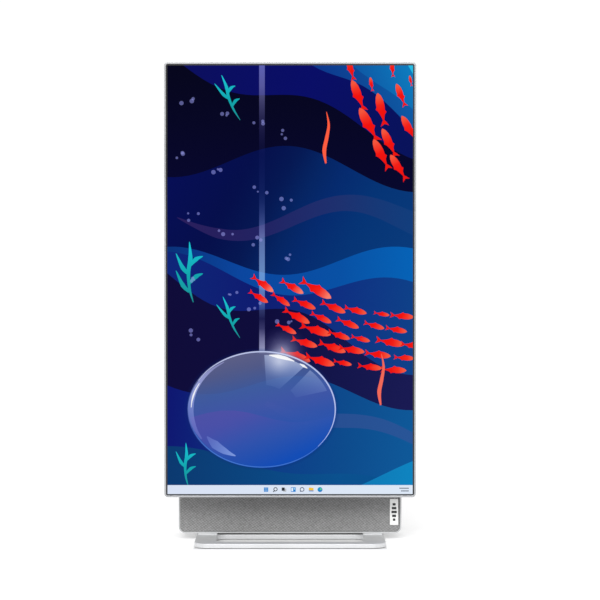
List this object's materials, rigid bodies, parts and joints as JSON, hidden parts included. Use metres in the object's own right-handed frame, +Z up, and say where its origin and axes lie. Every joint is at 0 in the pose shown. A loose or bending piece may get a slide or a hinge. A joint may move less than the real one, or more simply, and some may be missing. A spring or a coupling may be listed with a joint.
{
  "type": "computer monitor",
  "caption": "Slim desktop display stood on end, on a pivot and tilt hinge, with a fabric-fronted base unit holding electronics and loudspeakers, and an open metal foot.",
  "frame": {"origin": "centre of the footprint, on the table", "axes": "+Z up, +X to the viewer's right, and the viewer sits at -Y facing +Y; the head stands upright with its long side vertical"},
  "size_m": [0.3546, 0.242, 0.6781],
  "materials": {
    "rim_metal": "satin anodised",
    "screen_glass": "gloss, lit from behind",
    "border_black": "gloss black print",
    "film_white": "matt translucent white",
    "guide_clear": "clear acrylic",
    "led_strip": "white board with yellow LEDs",
    "tray_steel": "zinc-coated sheet",
    "circuit_green": "solder mask",
    "cable_white": "flat cable",
    "hinge_steel": "black zinc",
    "screw_steel": "plated",
    "cover_silver": "fine-grained silver paint",
    "hinge_silver": "satin silver",
    "washer_ivory": "moulded nylon",
    "neck_metal": "satin",
    "sleeve_silver": "satin anodised",
    "cable_black": "matt sleeve",
    "shell_silver": "satin pale silver",
    "fabric_grey": "woven in grey and dark grey yarn",
    "badge_white": "satin white",
    "speaker_black": "moulded",
    "basket_steel": "black",
    "cone_paper": "pressed",
    "magnet_dark": "ferrite",
    "copper": "plain copper",
    "fin_aluminium": "plain",
    "port_steel": "bright",
    "button_metal": "satin",
    "foot_metal": "satin with a polished front edge",
    "pad_rubber": "matt"
  },
  "bodies": {
    "base": {"tilt_pins": "screw_steel", "tilt_washers": "washer_ivory", "tilt_nuts": "hinge_silver", "neck_core": "neck_metal", "neck_front_cover": "sleeve_silver", "neck_rear_cover": "sleeve_silver", "neck_cable": "cable_white", "box_shell": "shell_silver", "grille_carrier": "speaker_black", "fabric_front": "fabric_grey", "badge": "badge_white", "back_panel": "shell_silver", "speaker_box_left": "speaker_black", "speaker_box_right": "speaker_black", "driver_basket_left": "basket_steel", "driver_basket_right": "basket_steel", "driver_cone_left": "cone_paper", "driver_cone_right": "cone_paper", "driver_magnet_left": "magnet_dark", "driver_magnet_right": "magnet_dark", "mainboard": "circuit_green", "memory_and_drive": "circuit_green", "cold_plate": "copper", "fin_stack": "fin_aluminium", "blower_housing": "speaker_black", "rear_ports": "port_steel", "side_ports": "port_steel", "headphone_socket": "speaker_black", "power_switch": "speaker_black", "foot_frame": "foot_metal", "foot_pads": "pad_rubber", "foot_screws": "screw_steel", "back_screws": "screw_steel"},
    "hinge_head": {"pivot_shaft": "hinge_steel", "pivot_washers": "washer_ivory", "pivot_nut": "screw_steel", "stop_pin": "screw_steel", "tilt_bracket": "hinge_steel", "pivot_cover": "hinge_silver", "hinge_cable": "cable_black", "barrel_cover": "hinge_silver"},
    "screen_head": {"screen_rim": "rim_metal", "lcd_cell": "screen_glass", "border_frame": "border_black", "optical_films": "film_white", "light_guide": "guide_clear", "led_bar": "led_strip", "reflector_sheet": "film_white", "panel_tray": "tray_steel", "timing_board": "circuit_green", "panel_cable": "cable_white", "hinge_plate": "hinge_steel", "hinge_plate_screws": "screw_steel", "rear_cover": "cover_silver", "pivot_hub": "hinge_steel", "pivot_rotor": "hinge_silver"},
    "blower_rotor": {"blower_rotor": "speaker_black"},
    "power_button": {"power_button": "button_metal"}
  },
  "joints": [
    {"name": "screen_tilt", "type": "hinge", "parent": "base", "child": "hinge_head", "pos_m": [0, -0.018, 0.3719], "axis": [-1, 0, 0], "range_deg": [-5, 20]},
    {"name": "screen_pivot", "type": "hinge", "parent": "hinge_head", "child": "screen_head", "pos_m": [0, -0.045, 0.3719], "axis": [0, -1, 0], "range_deg": [0, 90]},
    {"name": "blower_spin", "type": "hinge", "parent": "base", "child": "blower_rotor", "pos_m": [-0.1023, 0.035, 0.123], "axis": [0, 1, 0], "continuous": true},
    {"name": "power_press", "type": "slide", "parent": "base", "child": "power_button", "axis": [-1, 0, 0], "range_m": [0, 0.0006], "stiffness_N_per_m": 800, "springref_m": -0.001}
  ]
}
